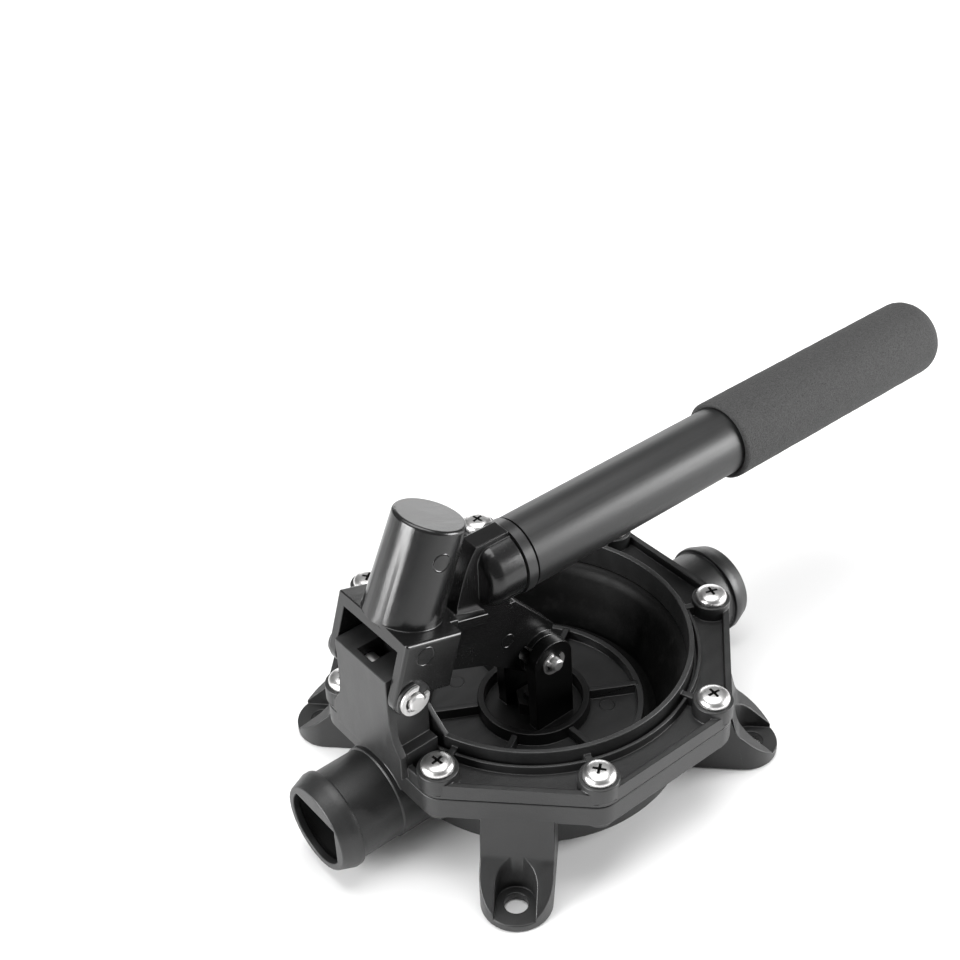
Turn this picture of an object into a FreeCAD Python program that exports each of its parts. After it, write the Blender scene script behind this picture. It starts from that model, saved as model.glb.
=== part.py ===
import FreeCAD, Part
import Sketcher
import math
import os
import re
from FreeCAD import Placement, Rotation, Vector

# A manual diaphragm bilge pump with a removable handle. Millimetres, +Z up. The origin is on the
# plane of the four feet, at the pump's centre. The hose ports and the lever lie along X.

SIZES = {
    # body and clamp ring
    "flat_distance": (75.3, "centre to each flat of the eight-sided flange"),
    "corner_round": (10.0, "rounding of the flange corners"),
    "flange_bottom": (34.0, "underside of the body flange"),
    "flange_top": (43.2, "joint face of the body flange"),
    "ring_gap": (0.3, "gap between body flange and clamp ring"),
    "ring_top": (50.0, "top of the ring's outer rim"),
    "rim_width": (2.4, "width of the ring's outer rim"),
    "channel_floor": (46.4, "floor of the ring's channel"),
    "mouth_radius": (59.5, "opening of the clamp ring"),
    "lip_width": (2.0, "thickness of the raised inner lip"),
    "lip_top": (54.4, "top of the raised inner lip"),
    "ridge_radius": (64.3, "outside of the low second ridge"),
    "ridge_top": (49.2, "top of the low second ridge"),
    "bowl_radius": (60.4, "outside of the bowl near its floor"),
    "bowl_floor": (2.6, "underside of the bowl"),
    "wall": (3.0, "moulded wall thickness"),
    # cover screws
    "screw_circle": (73.9, "radius of the circle of cover screws"),
    "screw_count": (8, "number of cover screws"),
    "boss_radius": (7.5, "screw boss of the clamp ring"),
    "under_boss": (5.6, "screw boss below the body flange"),
    "boss_top": (52.5, "seat of the screw heads"),
    "shank_radius": (2.9, "screw shank"),
    "head_radius": (6.15, "screw head"),
    "head_height": (3.5, "screw head"),
    "screw_length": (19.0, "screw length under the head"),
    # feet
    "foot_reach": (83.3, "centre of the round end of each foot"),
    "foot_radius": (13.3, "round end of each foot"),
    "knee_reach": (80.2, "bend in the foot's upper face"),
    "knee_height": (18.0, "bend in the foot's upper face"),
    "foot_floor": (3.4, "thickness under the fixing screw"),
    "foot_hole_reach": (86.4, "fixing hole from the centre"),
    "foot_hole": (4.4, "fixing hole radius"),
    "foot_pocket": (7.5, "half width of the fixing pocket"),
    # ports
    "port_height": (22.0, "port axis above the base"),
    "port_radius": (17.9, "outside of the hose spigot"),
    "bead_radius": (19.25, "hose bead"),
    "bead_length": (2.4, "straight part of the hose bead"),
    "lead_length": (6.2, "taper from the bead to the port's end"),
    "mouth_rim": (17.0, "outside of the port at its end"),
    "port_reach": (104.2, "end face of each port"),
    "port_bore": (15.4, "bore of each port"),
    "port_root": (18.5, "thick collar where the port leaves the body"),
    "root_reach": (77.4, "end of that collar"),
    "window_radius": (14.4, "round part of the opening in the port's end"),
    "window_corner": (15.8, "reach of that opening's square corner"),
    "window_roof": (9.4, "flat roof of the port's opening above the port axis"),
    "window_side": (12.6, "flat side of the port's opening from the port axis"),
    "end_wall": (3.0, "thickness of the port's end wall"),
    # valves
    "seat_thickness": (3.0, "valve seat"),
    "seat_hole": (10.5, "opening of a valve seat"),
    "flap_radius": (12.8, "rubber valve flap"),
    "flap_thickness": (2.0, "rubber valve flap"),
    "flap_gap": (0.1, "gap between a closed flap and its seat"),
    "inlet_seat": (66.0, "bowl side face of the inlet seat"),
    "outlet_seat": (68.0, "port side face of the outlet seat"),
    # diaphragm and its plates
    "rubber": (2.2, "diaphragm thickness"),
    "rubber_rim": (67.6, "outer edge of the diaphragm"),
    "cup_radius": (57.6, "outside of the diaphragm cup at its top"),
    "cup_base": (50.5, "outside of the diaphragm cup at its base"),
    "cup_floor": (12.4, "underside of the diaphragm floor"),
    "plate_radius": (43.5, "upper plate"),
    "plate_floor": (16.8, "top of the upper plate's disc"),
    "plate_rim_top": (21.0, "top of the upper plate's rim"),
    "hub_outer": (22.2, "outside of the hub ring"),
    "hub_inner": (19.5, "inside of the hub ring"),
    "hub_top": (22.6, "top of the hub ring"),
    "rib_count": (6, "ribs of the upper plate"),
    "rib_width": (2.4, "ribs of the upper plate"),
    "lower_radius": (40.0, "lower plate"),
    "bolt_radius": (3.9, "bolt through both plates"),
    # pivots
    "pivot_x": (-71.0, "lever pivot"),
    "pivot_z": (81.5, "lever pivot"),
    "pivot_pin": (3.2, "pivot pin radius"),
    "clevis_z": (48.5, "clevis pin above the base"),
    "clevis_pin": (2.5, "clevis pin radius"),
    "fit": (0.08, "running clearance of a pin in its bore"),
    "ear_radius": (9.4, "rounded top of the clevis ears"),
    "ear_inner": (7.0, "clevis ears, inner faces from the middle"),
    "ear_outer": (12.0, "clevis ears, outer faces from the middle"),
    # tower and lever
    "tower_half": (15.0, "half width of the tower"),
    "tower_front": (-78.3, "front face of the tower"),
    "tower_back": (-61.2, "back face of the tower"),
    "tower_top": (89.6, "top of the tower"),
    "hollow_near": (3.5, "hollow in the tower's top, from the middle towards -Y"),
    "hollow_far": (5.2, "hollow in the tower's top, from the middle towards +Y"),
    "lever_tilt": (17.0, "lean of the saddle and post, degrees"),
    "saddle_inner": (15.5, "inner faces of the saddle cheeks"),
    "saddle_outer": (20.0, "outer faces of the saddle cheeks"),
    "saddle_under": (17.8, "underside of the saddle roof above the pivot"),
    "saddle_top": (22.6, "top of the saddle roof above the pivot"),
    "saddle_front": (7.4, "saddle ahead of the pivot"),
    "saddle_rear": (17.2, "saddle behind the pivot"),
    "post_base": (14.4, "upright post at its foot"),
    "post_tip": (13.2, "upright post at its top"),
    "post_height": (39.5, "upright post"),
    "post_rear": (5.7, "post axis behind the pivot, at its foot"),
    "post_lean": (5.4, "lean of the post on the saddle, degrees"),
    "handle_z": (99.2, "handle axis above the base"),
    "spine_half": (3.9, "half width of the lever's blade and curved spine"),
    "spine_top": (115.0, "top of the spine"),
    "shelf_half": (7.2, "half width of the shelf at the spine's foot"),
    "shelf_end": (41.5, "end of that shelf, from the pivot"),
    "shelf_top": (16.8, "top of that shelf, above the pivot"),
    "elbow_radius": (13.7, "neck under the handle"),
    "elbow_x": (-28.0, "rear face of the neck"),
    "stub_start": (-13.3, "shoulder where the collar sits"),
    "stub_end": (34.0, "end of the stub inside the tube"),
    "stub_radius": (12.2, "stub inside the tube"),
    # handle
    "tube_radius": (14.0, "handle tube"),
    "tube_bore": (12.35, "handle tube bore"),
    "tube_start": (-7.7, "start of the handle tube"),
    "collar_end": (-8.7, "end of the collar"),
    "tube_end": (213.4, "end of the handle tube"),
    "grip_start": (97.4, "start of the foam grip"),
    "grip_radius": (16.5, "foam grip"),
    "grip_end": (220.3, "end of the foam grip"),
}

os.makedirs("parts", exist_ok=True)
doc = FreeCAD.newDocument("ManualBilgePump")
sheet = doc.addObject("Spreadsheet::Sheet", "Sizes")
for row, (alias, (value, note)) in enumerate(SIZES.items(), start=1):
    sheet.set(f"A{row}", note)
    sheet.set(f"B{row}", str(value))
    sheet.setAlias(f"B{row}", alias)
doc.recompute()

AXIS_X = Rotation(Vector(0, 1, 0), 90)
AXIS_Y = Rotation(Vector(1, 0, 0), -90)
sub_parts = []


def size(alias):
    return float(sheet.get(alias))


def cells(text):
    """A sheet expression, with each alias named in full."""
    return re.sub(r"[a-z][a-z_0-9]*", lambda word: "Sizes." + word.group(0)
                  if word.group(0) in SIZES else word.group(0), str(text))


def bind(thing, **properties):
    for name, text in properties.items():
        thing.setExpression(name, cells(text))
    return thing


def place(thing, at=(0, 0, 0), turn=None):
    thing.Placement = Placement(Vector(), turn or Rotation())
    for axis, text in zip("xyz", at):
        thing.setExpression(f"Placement.Base.{axis}", cells(text))
    return thing


def block(name, at, length, width, height, turn=None):
    return place(bind(doc.addObject("Part::Box", name), Length=length, Width=width, Height=height), at, turn)


def rod(name, radius, height, at=(0, 0, 0), turn=None):
    return place(bind(doc.addObject("Part::Cylinder", name), Radius=radius, Height=height), at, turn)


def cone(name, radius, tip, height, at=(0, 0, 0), turn=None):
    made = bind(doc.addObject("Part::Cone", name), Radius1=radius, Radius2=tip, Height=height)
    return place(made, at, turn)


def tube(name, outer, inner, height, at=(0, 0, 0), turn=None):
    bore = rod(name + "_bore", inner, height, at, turn)
    return cut(name, rod(name + "_outside", outer, height, at, turn), [bore])


def fuse(name, pieces):
    joined = doc.addObject("Part::MultiFuse", name)
    joined.Shapes = pieces
    joined.Refine = False
    return joined


def cut(name, base, tools):
    made = doc.addObject("Part::Cut", name)
    made.Base = base
    made.Tool = tools[0] if len(tools) == 1 else fuse(name + "_tools", tools)
    made.Refine = True
    return made


def common(name, first, second):
    made = doc.addObject("Part::Common", name)
    made.Base = first
    made.Tool = second
    return made


def group(name, pieces):
    made = doc.addObject("Part::Compound", name)
    made.Links = pieces
    return made


def rounded(name, base, radius, wanted):
    """Round the edges of a shape that the test wanted(edge) picks."""
    doc.recompute()
    made = doc.addObject("Part::Fillet", name)
    made.Base = base
    numbers = [n for n, edge in enumerate(base.Shape.Edges, start=1) if wanted(edge)]
    made.Edges = [(n, radius, radius) for n in numbers]
    return made


def new_body(name):
    return doc.addObject("PartDesign::Body", name)


def new_sketch(body, name, role, offset=None):
    plane = next(f for f in body.Origin.OriginFeatures if f.Role == role)
    sketch = body.newObject("Sketcher::SketchObject", name)
    sketch.AttachmentSupport = [(plane, "")]
    sketch.MapMode = "FlatFace"
    if offset is not None:
        sketch.AttachmentOffset = offset
    return sketch


def draw_outline(sketch, corners):
    """A closed outline. Each corner is a pair of sheet expressions, fixed from the sketch's origin."""
    count = len(corners)
    start = [Vector(50 * math.cos(2 * math.pi * n / count), 50 * math.sin(2 * math.pi * n / count), 0)
             for n in range(count)]
    for n in range(count):
        sketch.addGeometry(Part.LineSegment(start[n], start[(n + 1) % count]), False)
    for n in range(count):
        sketch.addConstraint(Sketcher.Constraint("Coincident", n, 2, (n + 1) % count, 1))
    for n, corner in enumerate(corners):
        for way, text in zip("XY", corner):
            index = sketch.addConstraint(Sketcher.Constraint("Distance" + way, -1, 1, n, 1, 10.0))
            sketch.setExpression(f"Constraints[{index}]", cells(text))


def turned(name, corners, along="Z"):
    """A body turned about Z, or about X, from an outline of (radius, height) corners."""
    body = new_body(name)
    sketch = new_sketch(body, name + "_outline", "XZ_Plane")
    draw_outline(sketch, corners)
    turn = body.newObject("PartDesign::Revolution", name + "_turn")
    turn.Profile = sketch
    turn.ReferenceAxis = (sketch, ["V_Axis" if along == "Z" else "H_Axis"])
    turn.Angle = 360
    return body


def slab(name, corners, role, length, offset=None, symmetric=False):
    """A body padded from an outline."""
    body = new_body(name)
    sketch = new_sketch(body, name + "_outline", role, offset)
    draw_outline(sketch, corners)
    pad = body.newObject("PartDesign::Pad", name + "_pad")
    pad.Profile = sketch
    pad.setExpression("Length", cells(length))
    pad.Midplane = symmetric
    return body


def octagon(name, bottom, height, distance, corner):
    """An eight-sided slab with rounded corners, its flats facing along X and Y."""
    corners = []
    for side in range(8):
        angle = 22.5 + 45 * side
        reach = f"({distance}) / cos(22.5 deg)"
        corners.append((f"{reach} * cos({angle} deg)", f"{reach} * sin({angle} deg)"))
    body = slab(name, corners, "XY_Plane", height)
    doc.recompute()
    pad = body.Tip
    upright = [f"Edge{n}" for n, edge in enumerate(pad.Shape.Edges, start=1)
               if abs(edge.tangentAt(edge.FirstParameter).z) > 0.9]
    rounding = body.newObject("PartDesign::Fillet", name + "_corners")
    rounding.Base = (pad, upright)
    rounding.setExpression("Radius", cells(corner))
    return place(body, (0, 0, bottom))


def spin(thing, angle):
    """Turn a finished piece about the pump's centre line."""
    thing.Placement = Placement(Vector(), Rotation(Vector(0, 0, 1), angle))
    return thing


def keep(thing, label):
    """Name a finished piece as a sub-part."""
    thing.Label = label
    sub_parts.append(thing)
    return thing


def screw_angles():
    count = int(size("screw_count"))
    return [22.5 + 360 / count * n for n in range(count)]


def at_screw(angle, bottom):
    """The place of a screw axis, at one height."""
    return (f"screw_circle * cos({angle} deg)", f"screw_circle * sin({angle} deg)", bottom)


# ---- pump body ------------------------------------------------------------------------------

def foot(n, angle):
    name = f"foot{n}"
    side = slab(name + "_side", [
        ("50", "0"),
        ("foot_reach + foot_radius", "0"),
        ("foot_reach + foot_radius", "foot_floor"),
        ("foot_reach + foot_radius - 0.7", "foot_floor"),
        ("knee_reach + 2", "knee_height - 1.6"),
        ("knee_reach + 0.6", "knee_height - 0.5"),
        ("knee_reach - 0.4", "knee_height + 0.8"),
        ("knee_reach - 1.1", "knee_height + 2.4"),
        ("flat_distance + 0.1", "flange_bottom + 1"),
        ("flat_distance - 0.5", "flange_top - 4"),
        ("50", "flange_top - 4"),
    ], "XZ_Plane", "2 * foot_radius", symmetric=True)
    toe = rod(name + "_toe", "foot_radius", "60", ("foot_reach", 0, 0))
    shin = block(name + "_shin", ("50", "-foot_radius", 0), "foot_reach - 50", "2 * foot_radius", "60")
    outline = common(name + "_outline", side, fuse(name + "_plan", [toe, shin]))
    well = rod(name + "_well", "foot_pocket", "60", ("foot_hole_reach", 0, "foot_floor"))
    mouth = block(name + "_mouth", ("foot_hole_reach", "-foot_pocket", "foot_floor"), "30",
                  "2 * foot_pocket", "60")
    hole = rod(name + "_hole", "foot_hole", "20", ("foot_hole_reach", 0, -5))
    return spin(cut(name, outline, [well, mouth, hole]), angle)


def port(n, angle):
    """The outside of a hose port along +X: collar, spigot and bead."""
    name = f"port{n}"
    root = rod(name + "_root", "port_root", "root_reach - 50", ("50", 0, "port_height"), AXIS_X)
    spigot = rod(name + "_spigot", "port_radius", "port_reach - lead_length - 51",
                 ("50", 0, "port_height"), AXIS_X)
    bead = rod(name + "_bead", "bead_radius", "bead_length",
               ("port_reach - lead_length - bead_length", 0, "port_height"), AXIS_X)
    lead = cone(name + "_lead", "bead_radius", "mouth_rim", "lead_length",
                ("port_reach - lead_length", 0, "port_height"), AXIS_X)
    return spin(fuse(name, [root, spigot, bead, lead]), angle)


def port_hollow(n, angle):
    """The bore of a port and the opening in its end, which has a flat roof and one flat side."""
    name = f"passage{n}"
    start = ("port_reach - 20", 0, "port_height")
    bore = rod(name + "_bore", "port_bore", "port_reach - end_wall - 48", ("48", 0, "port_height"), AXIS_X)
    disc = rod(name + "_disc", "window_radius", "30", start, AXIS_X)
    wide = rod(name + "_wide", "window_corner", "30", start, AXIS_X)
    quarter = block(name + "_quarter", ("port_reach - 22", 0, "port_height"), "34", "30", "30")
    corner = common(name + "_corner", wide, quarter)
    limits = block(name + "_limits", ("port_reach - 25", -30, "port_height - 30"), "40", "30 + window_side",
                   "30 + window_roof")
    opening = common(name + "_opening", fuse(name + "_shape", [disc, corner]), limits)
    return spin(fuse(name, [bore, opening]), angle)


bowl = turned("bowl", [
    ("0", "bowl_floor"),
    ("bowl_radius - 3", "bowl_floor"),
    ("bowl_radius", "bowl_floor + 3"),
    ("bowl_radius + 1.6", "flange_bottom"),
    ("bowl_radius + 6", "flange_bottom"),
    ("bowl_radius + 6", "flange_top - 4"),
    ("0", "flange_top - 4"),
])
flange = octagon("body_flange", "flange_bottom", "flange_top - flange_bottom", "flat_distance", "corner_round")
bowl_inside = turned("bowl_inside", [
    ("0", "bowl_floor + wall"),
    ("bowl_radius - wall - 2", "bowl_floor + wall"),
    ("bowl_radius - wall", "bowl_floor + wall + 2"),
    ("mouth_radius - 0.1", "flange_bottom"),
    ("mouth_radius - 0.1", "flange_top + 5"),
    ("0", "flange_top + 5"),
])
rim_seat = rod("rim_seat", "rubber_rim + 0.4", "10", (0, 0, "flange_top - rubber"))
body_pieces = [bowl, flange]
body_tools = [bowl_inside, rim_seat]
for n in range(4):
    body_pieces.append(foot(n, 45 + 90 * n))
for n in range(2):
    body_pieces.append(port(n, 180 * n))
    body_tools.append(port_hollow(n, 180 * n))
for n, angle in enumerate(screw_angles()):
    body_pieces.append(rod(f"body_boss{n}", "under_boss", "flange_top - flange_bottom",
                           at_screw(angle, "flange_bottom - 2.5")))
    body_tools.append(rod(f"pilot{n}", "shank_radius", "30", at_screw(angle, "boss_top - screw_length - 0.5")))
keep(cut("pump_body_solid", fuse("body_mass", body_pieces), body_tools), "pump_body")


# ---- clamp ring with the lever's tower --------------------------------------------------------

def ring_boss(n, angle):
    name = f"ring_boss{n}"
    pillar = rod(name + "_pillar", "boss_radius", "boss_top - channel_floor + 1",
                 ("screw_circle", 0, "channel_floor - 1"))
    web = block(name + "_rib", ("mouth_radius + 1", -1.3, "channel_floor - 1"),
                "screw_circle - boss_radius - mouth_radius", 2.6, "ridge_top - channel_floor + 2.6")
    return spin(fuse(name, [pillar, web]), angle)


def wing(name, start, depth, foot_half, foot_top):
    """The flared foot of the tower, cut across Y and Z and running along X."""
    return slab(name, [
        ("-tower_half", "tower_top - 8"),
        ("-tower_half", f"{foot_top} + 14"),
        ("-tower_half - 1.2", f"{foot_top} + 6"),
        (f"-({foot_half})", foot_top),
        (f"-({foot_half})", "channel_floor - 1"),
        (foot_half, "channel_floor - 1"),
        (foot_half, foot_top),
        ("tower_half + 1.2", f"{foot_top} + 6"),
        ("tower_half", f"{foot_top} + 14"),
        ("tower_half", "tower_top - 8"),
    ], "YZ_Plane", depth, Placement(Vector(0, 0, start), Rotation()))


ring_slab = octagon("ring_slab", "flange_top + ring_gap", "ring_top - flange_top - ring_gap",
                    "flat_distance", "corner_round")
channel = octagon("channel", "channel_floor", "20", "flat_distance - rim_width", "corner_round - rim_width")
channel_inside = rod("channel_inside", "ridge_radius", "30", (0, 0, "channel_floor - 5"))
ridge = tube("ridge", "ridge_radius", "ridge_radius - 1.4", "ridge_top - channel_floor",
             (0, 0, "channel_floor"))
lip = tube("lip", "mouth_radius + lip_width", "mouth_radius", "lip_top - flange_top - ring_gap",
           (0, 0, "flange_top + ring_gap"))
groove = tube("groove", "ridge_radius - 1.4", "mouth_radius + lip_width", "20", (0, 0, "channel_floor"))
channel_cut = cut("channel_cut", channel, [channel_inside])
mouth = rod("mouth", "mouth_radius", "60", (0, 0, "flange_top - 5"))

tower = block("tower", ("tower_front", "-tower_half", "channel_floor - 1"), "tower_back - tower_front",
              "2 * tower_half", "tower_top - channel_floor + 1")
front_wing = wing("front_wing", size("tower_front"), "3", "tower_half + 5", "ring_top + 6")
ledge = block("ledge", ("tower_front + 3", "-tower_half - 4.5", "channel_floor - 1"),
              "tower_back - tower_front - 3", "2 * tower_half + 9", "ring_top - channel_floor + 7")
gusset_round = tube("gusset_round", "mouth_radius + lip_width", "mouth_radius", "30", (0, 0, "lip_top - 2"))
gusset_shape = slab("gusset_shape", [
    ("-tower_half - 5", "lip_top - 3"),
    ("-tower_half - 4.5", "lip_top"),
    ("-tower_half + 3", "lip_top + 11"),
    ("tower_half - 3", "lip_top + 11"),
    ("tower_half + 4.5", "lip_top"),
    ("tower_half + 5", "lip_top - 3"),
], "YZ_Plane", "40", Placement(Vector(0, 0, -90), Rotation()))
gusset = common("gusset", gusset_round, gusset_shape)
tower_hollow = block("tower_hollow", ("tower_front + 3", "-hollow_near", "ring_top + 12"),
                     "tower_back - tower_front - 6", "hollow_near + hollow_far", 60)
pivot_bore = rod("pivot_bore", "pivot_pin + fit", "60", ("pivot_x", -30, "pivot_z"), AXIS_Y)

ring_base = cut("ring_base", ring_slab, [channel_cut, groove, mouth])
ring_pieces = [ring_base, ridge, lip, tower, front_wing, ledge, gusset]
ring_tools = [tower_hollow, pivot_bore]
for n, angle in enumerate(screw_angles()):
    ring_pieces.append(ring_boss(n, angle))
    ring_tools.append(rod(f"ring_screw_hole{n}", "shank_radius + 0.3", "40", at_screw(angle, "flange_bottom")))
ring_solid = cut("clamp_ring_solid", fuse("ring_mass", ring_pieces), ring_tools)
keep(ring_solid, "clamp_ring")


# ---- cover screws ---------------------------------------------------------------------------

def cover_screw(n, angle):
    name = f"screw{n}"
    here = "screw_circle"
    shank = rod(name + "_shank", "shank_radius - 0.05", "screw_length", (here, 0, "boss_top - screw_length"))
    base = rod(name + "_flat", "head_radius", "0.7", (here, 0, "boss_top"))
    ball = bind(doc.addObject("Part::Sphere", name + "_ball"),
                Radius="(head_radius ^ 2 + (head_height - 0.7) ^ 2) / (2 * (head_height - 0.7))")
    place(ball, (here, 0, "boss_top + head_height - (head_radius ^ 2 + (head_height - 0.7) ^ 2)"
                 " / (2 * (head_height - 0.7))"))
    above = rod(name + "_above", "head_radius", "head_height", (here, 0, "boss_top + 0.7"))
    slot_a = block(name + "_slot_a", ("screw_circle - 2.9", -0.7, "boss_top + head_height - 2.2"), 5.8, 1.4, 5)
    slot_b = block(name + "_slot_b", ("screw_circle - 0.7", -2.9, "boss_top + head_height - 2.2"), 1.4, 5.8, 5)
    solid = fuse(name + "_blank", [shank, base, common(name + "_dome", ball, above)])
    return spin(cut(name, solid, [slot_a, slot_b]), angle)


screws = [cover_screw(n, angle) for n, angle in enumerate(screw_angles())]
keep(group("cover_screw_set", screws), "cover_screws")


# ---- valves -----------------------------------------------------------------------------------

def valve_seat(name, start, angle):
    ring = tube(name, "port_bore - 0.02", "seat_hole", "seat_thickness", (start, 0, "port_height"), AXIS_X)
    return spin(ring, angle)


def valve_flap(name, start, angle):
    """A rubber disc hung from a round bead along Y at its top."""
    disc = rod(name + "_disc", "flap_radius", "flap_thickness", (start, 0, "port_height"), AXIS_X)
    bead = rod(name + "_bead", "flap_thickness / 2", "8",
               (f"{start} + flap_thickness / 2", -4, "port_height + flap_radius + 0.8"), AXIS_Y)
    neck = block(name + "_neck", (f"{start} + flap_thickness / 4", -4, "port_height + flap_radius - 3"),
                 "flap_thickness / 2", 8, "3.4")
    return spin(fuse(name, [disc, bead, neck]), angle)


keep(valve_seat("seat_in", "inlet_seat", 0), "inlet_valve_seat")
keep(valve_seat("seat_out", "outlet_seat - seat_thickness", 180), "outlet_valve_seat")
keep(valve_flap("flap_in", "inlet_seat - flap_thickness - flap_gap", 0), "inlet_valve_flap")
keep(valve_flap("flap_out", "outlet_seat + flap_gap", 180), "outlet_valve_flap")


# ---- diaphragm and its plates -----------------------------------------------------------------

keep(turned("diaphragm_cup", [
    ("rubber_rim", "flange_top - rubber"),
    ("rubber_rim", "flange_top + ring_gap"),
    ("cup_radius - rubber", "flange_top + ring_gap"),
    ("cup_base + 3 - rubber", "cup_floor + 9"),
    ("cup_base - rubber", "cup_floor + rubber"),
    ("bolt_radius + 0.1", "cup_floor + rubber"),
    ("bolt_radius + 0.1", "cup_floor"),
    ("cup_base", "cup_floor"),
    ("cup_base + 3", "cup_floor + 8"),
    ("cup_radius", "flange_top - rubber"),
]), "diaphragm")

disc = turned("plate_disc", [
    ("bolt_radius + 0.1", "cup_floor + rubber"),
    ("plate_radius", "cup_floor + rubber"),
    ("plate_radius", "plate_rim_top"),
    ("plate_radius - 2.4", "plate_rim_top"),
    ("plate_radius - 2.4", "plate_floor"),
    ("hub_outer", "plate_floor"),
    ("hub_outer", "hub_top"),
    ("hub_inner", "hub_top"),
    ("hub_inner", "plate_floor"),
    ("bolt_radius + 0.1", "plate_floor"),
])
plate_pieces = [disc]
for n in range(int(size("rib_count"))):
    angle = 30 + 360 / size("rib_count") * n
    bar = block(f"rib{n}_bar", ("hub_outer - 0.5", "-rib_width / 2", "plate_floor - 0.5"),
                "plate_radius - hub_outer - 1", "rib_width", "plate_rim_top - plate_floor + 0.8")
    plate_pieces.append(spin(group(f"rib{n}", [bar]), angle))
for side, start in (("near", "-ear_outer"), ("far", "ear_inner")):
    cheek = slab(f"{side}_ear_side", [
        ("-ear_radius", "clevis_z"),
        ("-ear_radius + 1.5", "plate_floor - 0.5"),
        ("ear_radius + 1", "plate_floor - 0.5"),
        ("ear_radius", "clevis_z"),
    ], "XZ_Plane", "ear_outer - ear_inner")
    cheek_way = size("ear_outer") if side == "far" else -size("ear_inner")
    cheek.Placement = Placement(Vector(0, cheek_way, 0), Rotation())
    top = rod(f"{side}_ear_top", "ear_radius", "ear_outer - ear_inner", (0, start, "clevis_z"), AXIS_Y)
    plate_pieces += [cheek, top]
clevis_bore = rod("clevis_bore", "clevis_pin + 0.02", "60", (0, -30, "clevis_z"), AXIS_Y)
keep(cut("upper_plate_solid", fuse("upper_plate_mass", plate_pieces), [clevis_bore]), "upper_plate")

lower_disc = turned("lower_disc", [
    ("bolt_radius + 0.1", "cup_floor"),
    ("lower_radius", "cup_floor"),
    ("lower_radius", "cup_floor - 1.5"),
    ("lower_radius - 3", "cup_floor - 3"),
    ("15", "cup_floor - 3"),
    ("12", "cup_floor - 4.5"),
    ("8.6", "cup_floor - 4.5"),
    ("8.6", "cup_floor - 2"),
    ("bolt_radius + 0.1", "cup_floor - 2"),
])
keep(lower_disc, "lower_plate")
keep(tube("plate_washer_ring", "8.2", "bolt_radius + 0.1", "1.2", (0, 0, "cup_floor - 3.2")), "plate_washer")


def hexagon(name, across, bottom, height):
    prism = bind(doc.addObject("Part::Prism", name), Height=height,
                 Circumradius=f"({across}) / (2 * cos(30 deg))")
    prism.Polygon = 6
    return place(prism, (0, 0, bottom))


bolt_head = hexagon("bolt_head", "11", "cup_floor - 5.8", "2.6")
bolt_shank = rod("bolt_shank", "bolt_radius", "plate_floor - cup_floor + 11.5", (0, 0, "cup_floor - 3.3"))
keep(fuse("plate_bolt_solid", [bolt_head, bolt_shank]), "plate_bolt")
keep(cut("plate_nut_solid", hexagon("nut_blank", "12.6", "plate_floor", "5.4"),
         [rod("nut_bore", "bolt_radius + 0.02", "20", (0, 0, "plate_floor - 3"))]), "plate_nut")


# ---- lever ------------------------------------------------------------------------------------

TILT = Rotation(Vector(0, 1, 0), size("lever_tilt"))
TO_PIVOT = Placement(Vector(size("pivot_x"), 0, size("pivot_z")), TILT)


def from_pivot(thing):
    """Carry a piece drawn about the pivot, upright, into the leaning saddle's place."""
    thing.Placement = TO_PIVOT
    return thing


def on_cheek_face(edge):
    box = edge.BoundBox
    return max(box.YMax, -box.YMin) > size("saddle_outer") - 0.01 and box.YLength < 0.1


saddle_block = block("saddle_block", ("-saddle_front", "-saddle_outer", 0), "saddle_front + saddle_rear",
                     "2 * saddle_outer", "saddle_top")
saddle_knee = rod("saddle_knee", "saddle_front", "2 * saddle_outer", (0, "-saddle_outer", 0), AXIS_Y)
saddle_window = block("saddle_window", (-40, "-saddle_inner", -40), 80, "2 * saddle_inner", "40 + saddle_under")
saddle_sharp = cut("saddle_sharp", fuse("saddle_mass", [saddle_block, saddle_knee]), [saddle_window])
saddle_shell = rounded("saddle_shell", saddle_sharp, 1.3, on_cheek_face)
saddle_tail = block("saddle_tail", ("0", -13, "saddle_under - 3"), "post_rear + post_base + 1", 26,
                    "saddle_top - saddle_under + 3")
shelf = block("shelf", ("saddle_rear - 2", "-shelf_half", "shelf_top - 4.4"), "shelf_end - saddle_rear + 2",
              "2 * shelf_half", "4.4")
post = cone("post_cone", "post_base", "post_tip", "post_height", ("post_rear", 0, "saddle_top - 2.2"),
            Rotation(Vector(0, 1, 0), size("post_lean")))
post_cap = rounded("post_round", post, 1.4, lambda edge: edge.BoundBox.ZMin > size("saddle_top") + 10)
saddle = from_pivot(fuse("saddle", [saddle_shell, saddle_tail, shelf, post_cap]))

spine = slab("lever_spine", [
    ("-46", "84"),
    ("-44", "89"),
    ("-38.6", "90"),
    ("-37.6", "94.2"),
    ("-36.5", "98"),
    ("-35.2", "102"),
    ("-33.8", "105.6"),
    ("-32.3", "109"),
    ("-30.6", "112.1"),
    ("-28.4", "spine_top"),
    ("stub_start - 0.3", "spine_top - 0.4"),
    ("stub_start - 0.3", "76"),
    ("-30", "74"),
], "XZ_Plane", "2 * spine_half", symmetric=True)
blade = slab("lever_blade", [
    ("-58", "pivot_z + 8"),
    ("-45", "pivot_z + 5.5"),
    ("-30", "pivot_z + 1"),
    ("stub_start + 2", "pivot_z - 1"),
    ("ear_radius - 2", "clevis_z + 10"),
    ("3", "clevis_z - 7"),
    ("-8", "clevis_z - 6"),
    ("-26", "57"),
    ("-56", "71"),
], "XZ_Plane", "2 * spine_half", symmetric=True)
elbow_blank = rod("elbow_blank", "elbow_radius", "stub_start - elbow_x", ("elbow_x", 0, "handle_z"), AXIS_X)
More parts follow.
